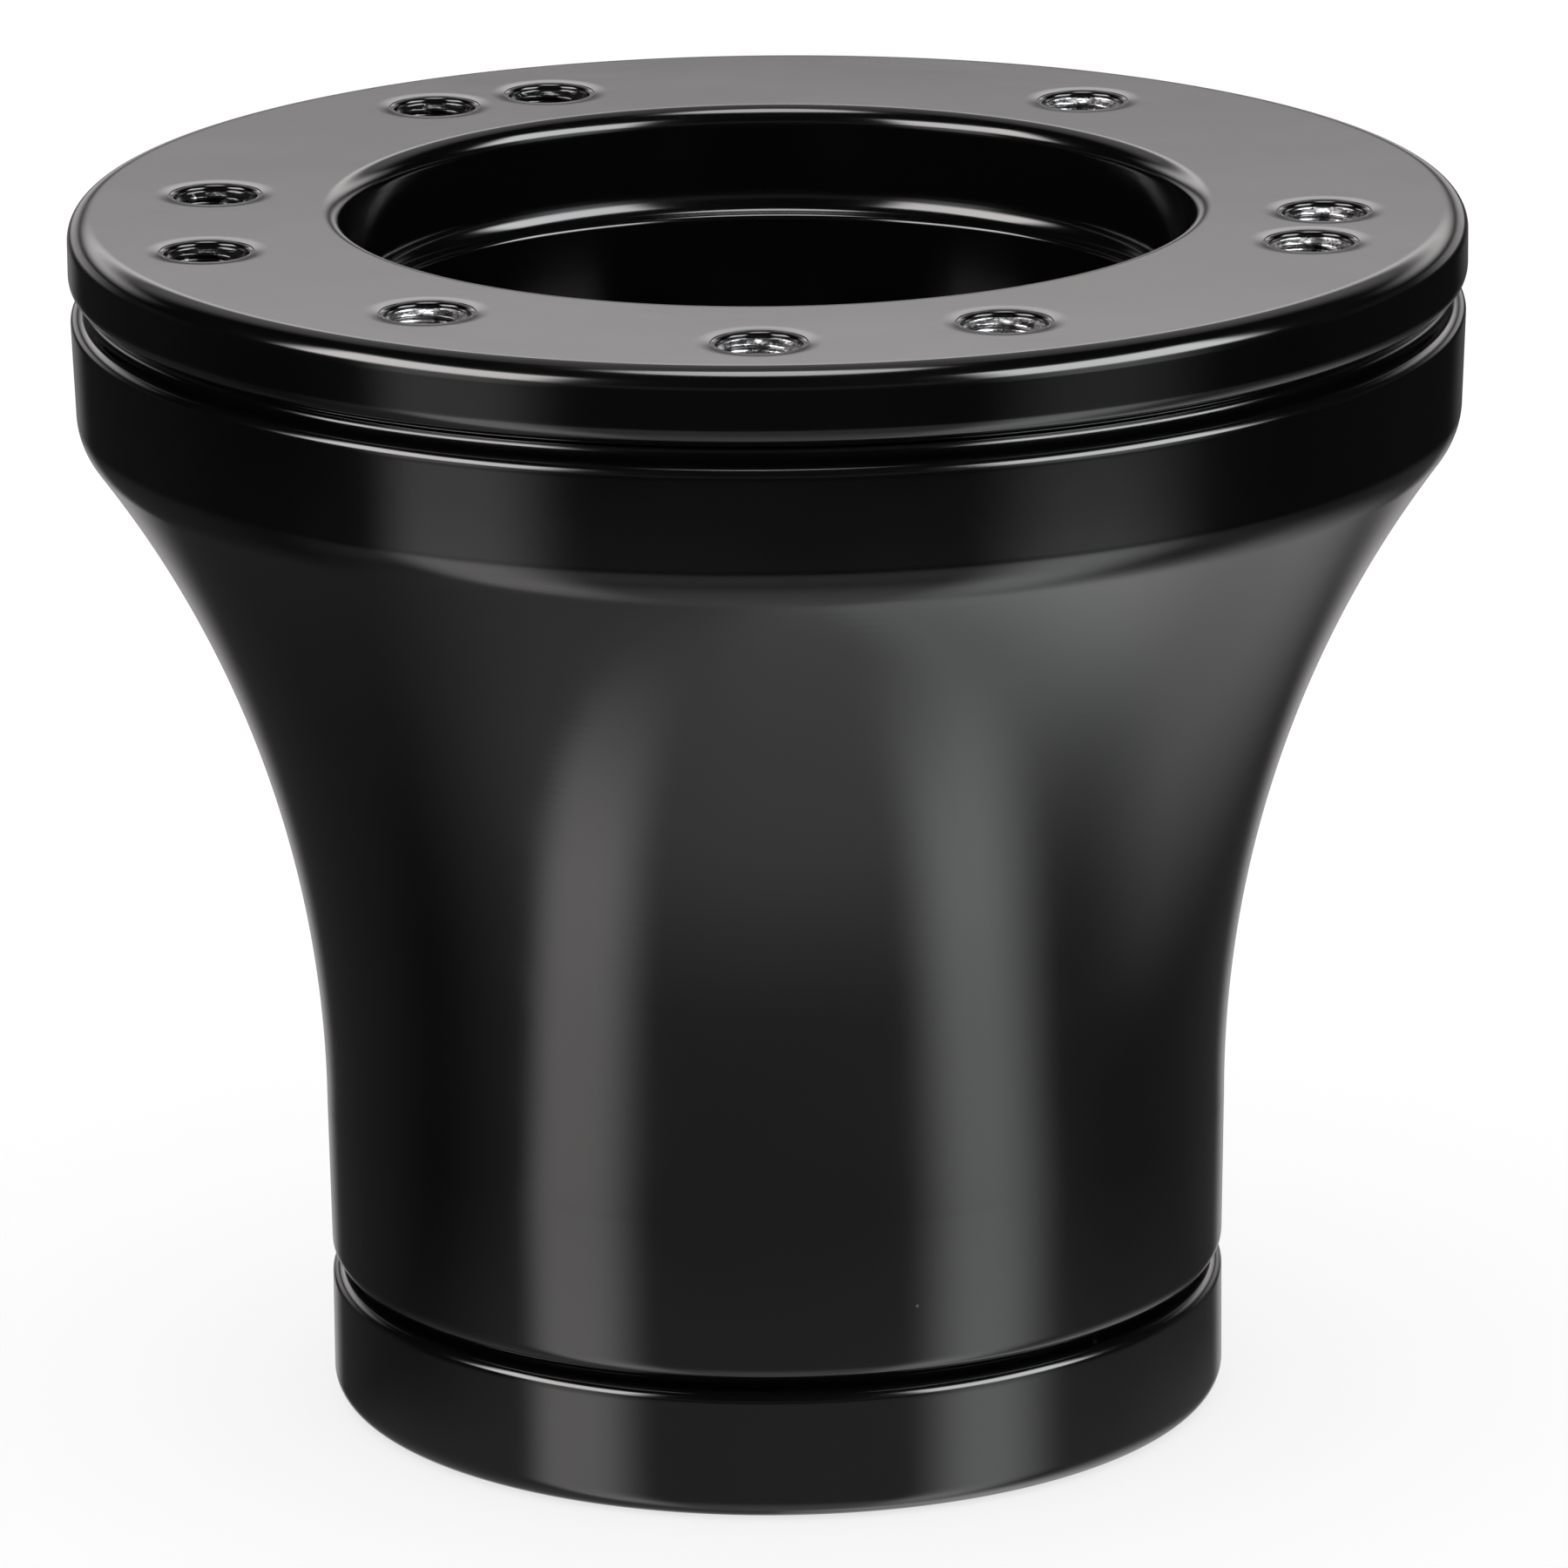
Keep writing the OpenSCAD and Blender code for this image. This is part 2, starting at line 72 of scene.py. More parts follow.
(_, _, FLANGE_Z), (FLANGE_R, _, HEIGHT) = extent("wheel_flange")
(_, _, SLEEVE_Z), (BAND_R, _, BAND_TOP_Z) = extent("flared_sleeve")
COLLAR_R = extent("base_collar")[1][0]
(_, TERMINAL_FRONT_Y, SPRING_TOP_Z), (_, TERMINAL_BACK_Y, _) = extent("plunger_terminal")
PLUNGER_Y = round((TERMINAL_FRONT_Y + TERMINAL_BACK_Y) / 2, 2)
LEAD_TOP_Z = extent("horn_plug")[0][2]

# Sizes that a box doesn't show, as part.scad has them
FLANGE_EDGE_Z = 72.7
SPIGOT_R = 40.2
BORE_R = 26.7
LEDGE_R, LEDGE_Z = 25.5, 70.8
COLLAR_TOP_Z = 8.55
NECK_R, NECK_Z = 28.75, 19.2
FLARE_R, FLARE_TURN = 74.4, 35.9
BAND_ROUND = 4.0
WALL = 3.6
FOOT_R = 28.6
PILOT_R = 14.6
WEB_TOP_Z = 14.0
TOWER_HOLE_R = 3.65
SHOULDER_R, SHOULDER_Z = 26.0, 60.1
RECESS_R, RECESS_Z = 24.5, 5.0
SIX_R, FIVE_R, SHARED_ANGLE = 35.0, 35.9, math.radians(54)


def polar(radius, angle, centre=(0.0, 0.0)):
    return (centre[0] + radius * math.cos(angle), centre[1] + radius * math.sin(angle))


FIVE_CENTRE = polar(SIX_R - FIVE_R, SHARED_ANGLE)
WHEEL_HOLES = [polar(SIX_R, SHARED_ANGLE + i * math.pi / 3) for i in range(6)]
WHEEL_HOLES += [polar(FIVE_R, SHARED_ANGLE + i * 2 * math.pi / 5, FIVE_CENTRE) for i in range(1, 5)]


# ---------------------------------------------------------------- mesh helpers

# Distance of a supporting row from the end of a straight run
GUARD = 0.12


def new_object(name, verts, faces, materials, body="hub", face_materials=None):
    """A mesh object from points in millimetres, riding on a body."""
    mesh = bpy.data.meshes.new(name)
    mesh.from_pydata([tuple(c * MM for c in v) for v in verts], [], faces)
    mesh.update()
    for material in materials:
        mesh.materials.append(material)
    if face_materials is not None:
        mesh.polygons.foreach_set("material_index", np.asarray(face_materials, np.int32))
    mesh.polygons.foreach_set("use_smooth", np.ones(len(mesh.polygons), bool))
    obj = bpy.data.objects.new(name, mesh)
    scene.collection.objects.link(obj)
    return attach(obj, body)


def arc(cx, cz, radius, start, end, steps, tall=1.0):
    """Points of an arc in the profile plane, in degrees. It is tall times as high as it is wide."""
    angles = [math.radians(start + (end - start) * i / steps) for i in range(steps + 1)]
    return [(cx + radius * math.cos(a), cz + radius * tall * math.sin(a)) for a in angles]


def with_supports(profile, closed, guard=GUARD):
    """Adds a point close to each end of every long run, so that smooth shading stays in the fillets."""
    out = []
    count = len(profile)
    for i, p in enumerate(profile):
        out.append(p)
        if i == count - 1 and not closed:
            break
        q = profile[(i + 1) % count]
        length = math.dist(p, q)
        if length > 4 * guard:
            for t in (guard / length, 1 - guard / length):
                out.append((p[0] + (q[0] - p[0]) * t, p[1] + (q[1] - p[1]) * t))
    return out


def lathe(profile, segments, closed=True, centre=(0.0, 0.0)):
    """Vertices and quads of an anticlockwise profile turned about the vertical axis through centre."""
    verts = []
    for r, z in profile:
        for k in range(segments):
            x, y = polar(r, 2 * math.pi * k / segments, centre)
            verts.append((x, y, z))
    faces = []
    rows = len(profile)
    for i in range(rows if closed else rows - 1):
        a, b = i * segments, (i + 1) % rows * segments
        for k in range(segments):
            m = (k + 1) % segments
            faces.append((a + k, a + m, b + m, b + k))
    return verts, faces


# ---------------------------------------------------------------- node graphs


class Graph:
    """Short names for the shader nodes that the materials, the floor and the world use."""

    def __init__(self, tree):
        self.tree = tree

    def node(self, kind, inputs=None, **settings):
        made = self.tree.nodes.new(kind)
        for name, value in settings.items():
            setattr(made, name, value)
        for name, value in (inputs or {}).items():
            self.put(made.inputs[name], value)
        return made

    def put(self, socket, value):
        if isinstance(value, bpy.types.NodeSocket):
            self.tree.links.new(value, socket)
        elif value is not None:
            socket.default_value = value

    def math(self, operation, *values):
        made = self.node("ShaderNodeMath", operation=operation)
        for socket, value in zip(made.inputs, values):
            self.put(socket, value)
        return made.outputs[0]

    def add(self, *values):
        total = values[0]
        for value in values[1:]:
            total = self.math("ADD", total, value)
        return total

    def times(self, *values):
        total = values[0]
        for value in values[1:]:
            total = self.math("MULTIPLY", total, value)
        return total

    def step(self, value, start, end, low=0.0, high=1.0):
        """Smooth change from low to high while value goes from start to end."""
        made = self.node("ShaderNodeMapRange", interpolation_type="SMOOTHSTEP")
        names = ("Value", "From Min", "From Max", "To Min", "To Max")
        for name, x in zip(names, (value, start, end, low, high)):
            self.put(made.inputs[name], x)
        return made.outputs["Result"]

    def band(self, value, start, end, soft_start, soft_end):
        """1 between start and end, 0 outside, with soft edges."""
        rise = self.step(value, start - soft_start, start + soft_start)
        fall = self.step(value, end - soft_end, end + soft_end, 1.0, 0.0)
        return self.times(rise, fall)

    def mix(self, factor, a, b):
        made = self.node("ShaderNodeMix", data_type="RGBA")
        self.put(made.inputs["Factor"], factor)
        self.put(made.inputs[6], a)
        self.put(made.inputs[7], b)
        return made.outputs[2]

    def noise(self, vector, scale, detail=3.0, roughness=0.5):
        inputs = {"Vector": vector, "Scale": scale, "Detail": detail, "Roughness": roughness}
        return self.node("ShaderNodeTexNoise", inputs).outputs["Fac"]

    def xyz(self, vector):
        return self.node("ShaderNodeSeparateXYZ", {0: vector}).outputs

    def join(self, x, y, z):
        return self.node("ShaderNodeCombineXYZ", {0: x, 1: y, 2: z}).outputs[0]

    def away(self, x, y):
        """Distance from the vertical axis."""
        return self.math("SQRT", self.add(self.times(x, x), self.times(y, y)))

    def round_degrees(self, x, y):
        """Angle round the vertical axis: 0 on the camera's side, 90 on the object's right."""
        return self.times(self.math("ARCTAN2", x, self.times(y, -1.0)), 180 / math.pi)


def rgb(r, g, b):
    return (r, g, b, 1.0)


class Finish(Graph):
    """A Principled material on object coordinates, which are the row frame in metres."""

    def __init__(self, name, metallic=0.0, **fixed):
        self.material = bpy.data.materials.new(name)
        self.material.use_nodes = True
        super().__init__(self.material.node_tree)
        self.shader = self.tree.nodes["Principled BSDF"]
        self.shader.inputs["Metallic"].default_value = metallic
        for socket, value in fixed.items():
            self.shader.inputs[socket.replace("_", " ")].default_value = value
        self.place = self.node("ShaderNodeTexCoord").outputs["Object"]

    def turned(self, stretch=1.0):
        """Coordinates in which noise becomes rings round the hub's axis."""
        x, y, z = self.xyz(self.place)
        angle = self.times(self.math("ARCTAN2", y, x), stretch * MM)
        return self.join(self.away(x, y), angle, z)

    def set(self, colour, roughness, *bumps):
        """Links the colour, the roughness and each bump: its height, strength and depth in micrometres."""
        self.put(self.shader.inputs["Base Color"], colour)
        self.put(self.shader.inputs["Roughness"], roughness)
        normal = None
        for height, strength, depth in bumps:
            inputs = {"Height": height, "Strength": strength, "Distance": depth * MICRON}
            bump = self.node("ShaderNodeBump", inputs)
            if normal is not None:
                self.put(bump.inputs["Normal"], normal)
            normal = bump.outputs["Normal"]
        if normal is not None:
            self.put(self.shader.inputs["Normal"], normal)
        return self.material

    def edges(self, radius):
        """1 on sharp edges and 0 elsewhere, from how far a rounded normal turns from the real one."""
        rounded = self.node("ShaderNodeBevel", {"Radius": radius}, samples=4).outputs["Normal"]
        real = self.node("ShaderNodeNewGeometry").outputs["Normal"]
        dot = self.node("ShaderNodeVectorMath", {0: rounded, 1: real}, operation="DOT_PRODUCT")
        return self.step(dot.outputs["Value"], 0.99, 0.9)


def black_coat():
    """Gloss powder coat: long waves, orange peel, faint turning marks and a little dust."""
    f = Finish("gloss_black_coat", IOR=1.5)
    peel = f.noise(f.place, 420.0, 2.0, 0.45)
    wave = f.noise(f.place, 90.0, 1.0, 0.4)
    cloud = f.noise(f.place, 60.0, 4.0, 0.6)
    specks = f.node("ShaderNodeTexVoronoi", {"Vector": f.place, "Scale": 95.0, "Randomness": 1.0})
    size = f.noise(f.place, 300.0, 0.0)
    turning = f.noise(f.turned(6.0), 260.0, 2.0, 0.5)
    dust = f.step(f.add(specks.outputs["Distance"], f.times(size, 0.03)), 0.033, 0.022)
    colour = f.mix(cloud, rgb(0.0014, 0.0014, 0.0016), rgb(0.0034, 0.0032, 0.0033))
    colour = f.mix(f.times(dust, 0.5), colour, rgb(0.2, 0.19, 0.18))
    roughness = f.add(f.step(cloud, 0.3, 0.7, 0.105, 0.145), f.times(dust, 0.35))
    bumps = (wave, 1.0, 9.0), (turning, 1.0, 2.5), (peel, 1.0, 1.6), (dust, 1.0, 10.0)
    return f.set(colour, roughness, *bumps)


def bare_thread():
    """Tapped aluminium with chatter, burrs and dark stains."""
    f = Finish("bare_aluminium_thread", 1.0)
    chatter = f.noise(f.place, 5200.0, 3.0, 0.6)
    burr = f.noise(f.place, 1300.0, 2.0, 0.6)
    stain = f.step(f.noise(f.place, 900.0, 3.0, 0.6), 0.42, 0.62)
    metal = f.mix(burr, rgb(0.30, 0.30, 0.31), rgb(0.62, 0.62, 0.63))
    colour = f.mix(stain, metal, rgb(0.06, 0.06, 0.06))
    return f.set(colour, f.step(chatter, 0.2, 0.8, 0.2, 0.42), (burr, 1.0, 60.0), (chatter, 1.0, 8.0))


def painted_shade_thread():
    """Thread painted mostly coat black with bare metal in patches: painted shade for the holes on the dim
    side.
    """
    f = Finish("thread_painted_shade")
    bare_patch = f.step(f.noise(f.place, 700.0, 3.0, 0.6), 0.62, 0.72)
    # Near-black coat colour is painted shade, and bare metal shows only in patches
    colour = f.mix(bare_patch, rgb(0.006, 0.006, 0.006), rgb(0.7, 0.7, 0.71))
    f.put(f.shader.inputs["Metallic"], bare_patch)
    return f.set(colour, f.step(bare_patch, 0.0, 1.0, 0.18, 0.3), (f.noise(f.place, 1500.0), 1.0, 50.0))


def machined_steel():
    f = Finish("machined_steel", 1.0)
    rings = f.noise(f.turned(2.0), 3800.0, 3.0, 0.6)
    stain = f.noise(f.place, 130.0, 4.0, 0.6)
    colour = f.mix(stain, rgb(0.36, 0.36, 0.37), rgb(0.56, 0.56, 0.57))
    colour = f.mix(f.edges(0.00025), colour, rgb(0.75, 0.75, 0.76))
    roughness = f.add(f.step(stain, 0.3, 0.7, 0.2, 0.34), f.times(rings, 0.1))
    return f.set(colour, roughness, (rings, 1.0, 12.0))


def black_oxide():
    f = Finish("black_oxide_screw", 1.0)
    grain = f.noise(f.place, 2600.0, 3.0, 0.6)
    patch = f.noise(f.place, 260.0, 3.0, 0.6)
    colour = f.mix(patch, rgb(0.035, 0.035, 0.038), rgb(0.075, 0.073, 0.075))
    colour = f.mix(f.times(f.edges(0.00016), f.step(patch, 0.35, 0.6)), colour, rgb(0.34, 0.33, 0.33))
    return f.set(colour, f.step(grain, 0.25, 0.75, 0.28, 0.44), (grain, 1.0, 8.0))


def zinc_plate():
    f = Finish("bright_zinc", 1.0)
    cloud = f.noise(f.place, 330.0, 4.0, 0.6)
    grain = f.noise(f.place, 4200.0, 2.0, 0.5)
    colour = f.mix(cloud, rgb(0.60, 0.62, 0.66), rgb(0.78, 0.77, 0.73))
    return f.set(colour, f.step(cloud, 0.3, 0.7, 0.18, 0.32), (grain, 1.0, 6.0))


def moulded_natural(name, light, dark, rough):
    """Natural moulded plastic: a little light goes in, and the surface has a fine spark finish."""
    f = Finish(name, IOR=1.52, Subsurface_Weight=0.25, Subsurface_Scale=0.002)
    f.shader.inputs["Subsurface Radius"].default_value = (1.0, 0.8, 0.5)
    cloud = f.noise(f.place, 85.0, 4.0, 0.6)
    spark = f.noise(f.place, 3400.0, 2.0, 0.5)
    grease = f.step(f.noise(f.place, 240.0, 4.0, 0.65), 0.6, 0.72)
    colour = f.mix(f.times(grease, 0.35), f.mix(cloud, light, dark), rgb(0.30, 0.24, 0.15))
    roughness = f.add(f.step(cloud, 0.3, 0.7, rough, rough + 0.12), f.times(grease, -0.15))
    return f.set(colour, roughness, (spark, 1.0, 12.0))


def turned_brass():
    f = Finish("turned_brass", 1.0)
    x, y, z = f.xyz(f.place)
    radius = f.away(x, f.add(y, -PLUNGER_Y * MM))
    rings = f.noise(f.join(radius, 0.0, z), 5200.0, 2.0, 0.5)
    tarnish = f.step(f.noise(f.place, 420.0, 4.0, 0.6), 0.4, 0.75)
    colour = f.mix(tarnish, rgb(0.80, 0.58, 0.24), rgb(0.46, 0.29, 0.11))
    return f.set(colour, f.step(tarnish, 0.0, 1.0, 0.17, 0.36), (rings, 1.0, 8.0))


def spring_wire():
    f = Finish("spring_wire", 1.0)
    drawn = f.noise(f.place, 3800.0, 2.0, 0.6)
    colour = f.mix(drawn, rgb(0.50, 0.51, 0.53), rgb(0.70, 0.71, 0.72))
    return f.set(colour, f.step(drawn, 0.2, 0.8, 0.2, 0.34), (drawn, 1.0, 6.0))


def insulation(name, light, dark):
    f = Finish(name, IOR=1.5)
    cloud = f.noise(f.place, 400.0, 4.0, 0.6)
    skin = f.noise(f.place, 2400.0, 2.0, 0.5)
    dust = f.step(f.noise(f.place, 900.0, 3.0, 0.7), 0.62, 0.8)
    colour = f.mix(f.times(dust, 0.12), f.mix(cloud, light, dark), rgb(0.4, 0.37, 0.33))
    return f.set(colour, f.step(cloud, 0.3, 0.7, 0.3, 0.45), (skin, 1.0, 10.0))


def tinned():
    f = Finish("tinned_brass", 1.0)
    crystal = f.node("ShaderNodeTexVoronoi", {"Vector": f.place, "Scale": 1400.0}).outputs["Color"]
    cell = f.xyz(crystal)[0]
    worn = f.step(f.noise(f.place, 600.0, 3.0, 0.6), 0.58, 0.7)
    colour = f.mix(worn, f.mix(cell, rgb(0.66, 0.66, 0.64), rgb(0.80, 0.80, 0.78)), rgb(0.66, 0.50, 0.26))
    return f.set(colour, f.step(cell, 0.0, 1.0, 0.24, 0.38), (cell, 0.4, 8.0))


COAT = black_coat()
THREAD = bare_thread()
PAINTED_SHADE_THREAD = painted_shade_thread()
STEEL = machined_steel()
OXIDE = black_oxide()
ZINC = zinc_plate()
CAM_PLASTIC = moulded_natural("cam_nylon", rgb(0.80, 0.77, 0.68), rgb(0.72, 0.68, 0.57), 0.36)
TOWER_PLASTIC = moulded_natural("tower_acetal", rgb(0.74, 0.69, 0.56), rgb(0.66, 0.60, 0.46), 0.26)
BRASS = turned_brass()
SPRING_WIRE = spring_wire()
RED_SKIN = insulation("red_insulation", rgb(0.52, 0.025, 0.018), rgb(0.40, 0.018, 0.014))
BLACK_SKIN = insulation("black_insulation", rgb(0.02, 0.02, 0.021), rgb(0.032, 0.031, 0.03))
TIN = tinned()
CLIP_NYLON = insulation("clip_nylon", rgb(0.026, 0.026, 0.027), rgb(0.04, 0.04, 0.04))


# ---------------------------------------------------------------- the coated shells

FLARE_CENTRE = (NECK_R + FLARE_R, NECK_Z)
SHELL_SEGMENTS = 384
HOLE_SEGMENTS = 72
DIMPLE_ROWS = 7
DIMPLE_R = 3.9
DIMPLE_DEPTH = 0.05
COAT_EDGE_R = 0.28
HOLE_MOUTH_R = 2.6
THREAD_R = 2.5
CORE_R = 2.1
PITCH = 0.8
THREAD_TURNS = 5
THREAD_ROWS = 10
HOLE_FLOOR = -13.2
# Holes on the left and back left of the face, by their place in WHEEL_HOLES, whose threads are painted near
# black as painted shade where the light is dim
DIM_SIDE_PAINTED_SHADE_HOLES = (1, 2, 6, 7)


def hole_profile():
    """Rows of a hole's coated mouth, as radius and height over the face, and the thread's top."""
    rim = HOLE_MOUTH_R + COAT_EDGE_R
    points = [(DIMPLE_R + GUARD, 0.0), (DIMPLE_R, 0.0)]
    for i in range(1, DIMPLE_ROWS + 1):
        t = i / DIMPLE_ROWS
        points.append((DIMPLE_R + (rim - DIMPLE_R) * t, -DIMPLE_DEPTH * t * t))
    points += arc(rim, -DIMPLE_DEPTH - COAT_EDGE_R, COAT_EDGE_R, 84, 180, 9)
    depth = -DIMPLE_DEPTH - COAT_EDGE_R
    return points + [(HOLE_MOUTH_R, depth - 0.1)], depth - 0.18


def thread_radius(angle, depth):
    """Radius of an M5 thread's flank at an angle and a depth below its first turn."""
    phase = (depth / PITCH + angle / (2 * math.pi)) % 1.0
    ridge = min(1.0, max(0.0, 1.7 * (1 - abs(2 * phase - 1)) - 0.35))
    fade = min(1.0, depth / (0.5 * PITCH))
    return THREAD_R - (THREAD_R - CORE_R) * ridge * fade


def add_hole(verts, faces, slots, centre, bare_slot):
    """One blind tapped hole, from the ring where it meets the flat wheel face to its floor."""
    coat_rows, thread_top = hole_profile()
    angles = [2 * math.pi * k / HOLE_SEGMENTS for k in range(HOLE_SEGMENTS)]
    rings = [[(*polar(r, a, centre), HEIGHT + z) for a in angles] for r, z in coat_rows]
    coated = len(rings)
    for i in range(THREAD_TURNS * THREAD_ROWS + 1):
        depth = i * PITCH / THREAD_ROWS
        z = HEIGHT + thread_top - depth
        rings.append([(*polar(thread_radius(a, depth), a, centre), z) for a in angles])
    for z in (HEIGHT + thread_top - THREAD_TURNS * PITCH - 0.3, HEIGHT + HOLE_FLOOR):
        rings.append([(*polar(CORE_R, a, centre), z) for a in angles])
    start = len(verts)
    for ring in rings:
        verts.extend(ring)
    for i in range(len(rings) - 1):
        a, b = start + i * HOLE_SEGMENTS, start + (i + 1) * HOLE_SEGMENTS
        for k in range(HOLE_SEGMENTS):
            m = (k + 1) % HOLE_SEGMENTS
            faces.append((a + k, a + m, b + m, b + k))
            slots.append(0 if i < coated - 1 else bare_slot)
    last = start + (len(rings) - 1) * HOLE_SEGMENTS
    verts.append((*centre, HEIGHT + HOLE_FLOOR - 0.8))
    for k in range(HOLE_SEGMENTS):
        faces.append((last + k, last + (k + 1) % HOLE_SEGMENTS, len(verts) - 1))
        slots.append(bare_slot)
    return rings[0]


def wheel_face_sheet(outer, inner, holes):
    """Flat face between the outer ring, the bore ring and the hole rings, as points and triangles."""
    points, edges, ring_of = [], [], []
    for number, ring in enumerate([outer, inner, *holes]):
        first = len(points)
        points += [Vector(p[:2]) for p in ring]
        edges += [(first + i, first + (i + 1) % len(ring)) for i in range(len(ring))]
        ring_of += [number] * len(ring)
    flat, _, triangles, sources, *_ = delaunay_2d_cdt(points, edges, [], 0, 1e-7)
    keep = []
    for t in triangles:
        # A triangle with all its corners on one opening's ring lies inside that opening
        rings = {ring_of[sources[i][0]] for i in t}
        if len(rings) > 1 or rings == {0}:
            a, b, c = (flat[i] for i in t)
            turn = (b[0] - a[0]) * (c[1] - a[1]) - (b[1] - a[1]) * (c[0] - a[0])
            keep.append(tuple(t) if turn > 0 else tuple(reversed(t)))
    return [(p[0], p[1], HEIGHT) for p in flat], keep


def welded(name, parts, materials, slots=None):
    """One closed mesh from several lists of points and faces whose shared rings coincide."""
    verts, faces = [], []
    for v, f in parts:
        start = len(verts)
        verts += v
        faces += [tuple(start + i for i in face) for face in f]
    obj = new_object(name, verts, faces, materials, face_materials=slots)
    bm = bmesh.new()
    bm.from_mesh(obj.data)
    bmesh.ops.remove_doubles(bm, verts=bm.verts, dist=0.002 * MM)
    bm.to_mesh(obj.data)
    bm.free()
    return obj


# Rounding of the edges above the two grooves, and of the shoulders below them
LIP = 1.3
SHOULDER = 0.8


def groove_floor(outer_r, floor_z, wall_r, top_z):
    """Rounded shoulder of the lower part, then the hollow fillet that rises to the groove's wall."""
    hollow = top_z - floor_z
    shoulder = arc(outer_r - SHOULDER, floor_z - SHOULDER, SHOULDER, 0, 90, 14)
    return shoulder + arc(wall_r + hollow, top_z, hollow, -90, -180, 12)


def wheel_flange():
    """Top flange: bore with a rounded rim and a ledge, spigot below, and the ten wheel holes."""
    edge_r, rim_r, ledge_edge = 1.5, 1.2, 0.35
    ledge_hollow, ledge_tall = 0.85, 1.9
    ledge_start = (BORE_R - ledge_hollow, LEDGE_Z + ledge_tall * ledge_hollow)
    section = [(BORE_R + rim_r + GUARD, HEIGHT)]
    section += arc(BORE_R + rim_r, HEIGHT - rim_r, rim_r, 90, 180, 14)
    section += arc(*ledge_start, ledge_hollow, 0, -90, 16, tall=ledge_tall)
    section += arc(LEDGE_R + ledge_edge, LEDGE_Z - ledge_edge, ledge_edge, 90, 180, 8)[1:]
    section += [(LEDGE_R, FLANGE_Z), (SPIGOT_R, FLANGE_Z), (SPIGOT_R, FLANGE_EDGE_Z)]
    section += arc(FLANGE_R - LIP, FLANGE_EDGE_Z + LIP, LIP, -90, 0, 14)
    section += arc(FLANGE_R - edge_r, HEIGHT - edge_r, edge_r, 0, 90, 20)
    section += [(FLANGE_R - edge_r - GUARD, HEIGHT)]
    section = with_supports(section, closed=False)
    turned = lathe(section, SHELL_SEGMENTS, closed=False)
    slots = [0] * len(turned[1])
    hole_verts, hole_faces, rings = [], [], []
    for i, centre in enumerate(WHEEL_HOLES):
        # The holes on the dim side take the thread that is painted dark as painted shade
        rings.append(add_hole(hole_verts, hole_faces, slots, centre, 2 if i in DIM_SIDE_PAINTED_SHADE_HOLES else 1))
    inner, outer = turned[0][:SHELL_SEGMENTS], turned[0][-SHELL_SEGMENTS:]
    sheet = wheel_face_sheet(outer, inner, rings)
    slots += [0] * len(sheet[1])
    parts = [turned, (hole_verts, hole_faces), sheet]
    return welded("wheel_flange_coated", parts, [COAT, THREAD, PAINTED_SHADE_THREAD], slots)


def drilled(obj, centre, radius, low, high):
    """The same piece with a round hole through it between two heights."""
    bm = bmesh.new()
    place = Matrix.Translation(Vector((*centre, (low + high) / 2)) * MM)
    size = {"radius1": radius * MM, "radius2": radius * MM, "depth": (high - low) * MM}
    bmesh.ops.create_cone(bm, cap_ends=True, segments=64, matrix=place, **size)
    drill = bpy.data.objects.new("drill", bpy.data.meshes.new("drill"))
    bm.to_mesh(drill.data)
    bm.free()
    scene.collection.objects.link(drill)
    cut = obj.modifiers.new("hole", "BOOLEAN")
    cut.operation, cut.solver, cut.object = "DIFFERENCE", "EXACT", drill
    done = bpy.data.meshes.new_from_object(obj.evaluated_get(bpy.context.evaluated_depsgraph_get()))
    done.name = obj.data.name
    obj.modifiers.clear()
    obj.data = done
    bpy.data.objects.remove(drill)
    return obj


def flared_sleeve():
    """Neck, flare and band in one turned shell, hollow inside, with a web that the boss sits on."""
    spigot_wall_r, fillet = SPIGOT_R + 0.05, 1.5
    band_centre = polar(FLARE_R + BAND_ROUND, math.radians(180 - FLARE_TURN), FLARE_CENTRE)
    hollow_turn = math.degrees(math.asin((SHOULDER_Z - NECK_Z) / (FLARE_R + WALL)))
    section = [(PILOT_R, SLEEVE_Z)]
    section += arc(FOOT_R - LIP, SLEEVE_Z + LIP, LIP, -90, 0, 14)
    section += arc(*FLARE_CENTRE, FLARE_R, 180, 180 - FLARE_TURN, 72)
    section += arc(*band_centre, BAND_ROUND, -FLARE_TURN, 0, 20)
    section += groove_floor(BAND_R, BAND_TOP_Z - 0.74, BAND_R - 1.65, BAND_TOP_Z)
    section += [(spigot_wall_r, BAND_TOP_Z), (spigot_wall_r, FLANGE_Z)]
    section += [(SHOULDER_R, FLANGE_Z), (SHOULDER_R, SHOULDER_Z)]
    section += arc(*FLARE_CENTRE, FLARE_R + WALL, 180 - hollow_turn, 180, 40)
    section += [(NECK_R - WALL, WEB_TOP_Z + fillet)]
    section += arc(NECK_R - WALL - fillet, WEB_TOP_Z + fillet, fillet, 0, -90, 8)[1:]
    section += [(PILOT_R, WEB_TOP_Z)]
    section = with_supports(section, closed=True)
    sleeve = welded("flared_sleeve_coated", [lathe(section, SHELL_SEGMENTS)], [COAT])
    return drilled(sleeve, (0.0, PLUNGER_Y), TOWER_HOLE_R, SLEEVE_Z - 1, WEB_TOP_Z + 1)


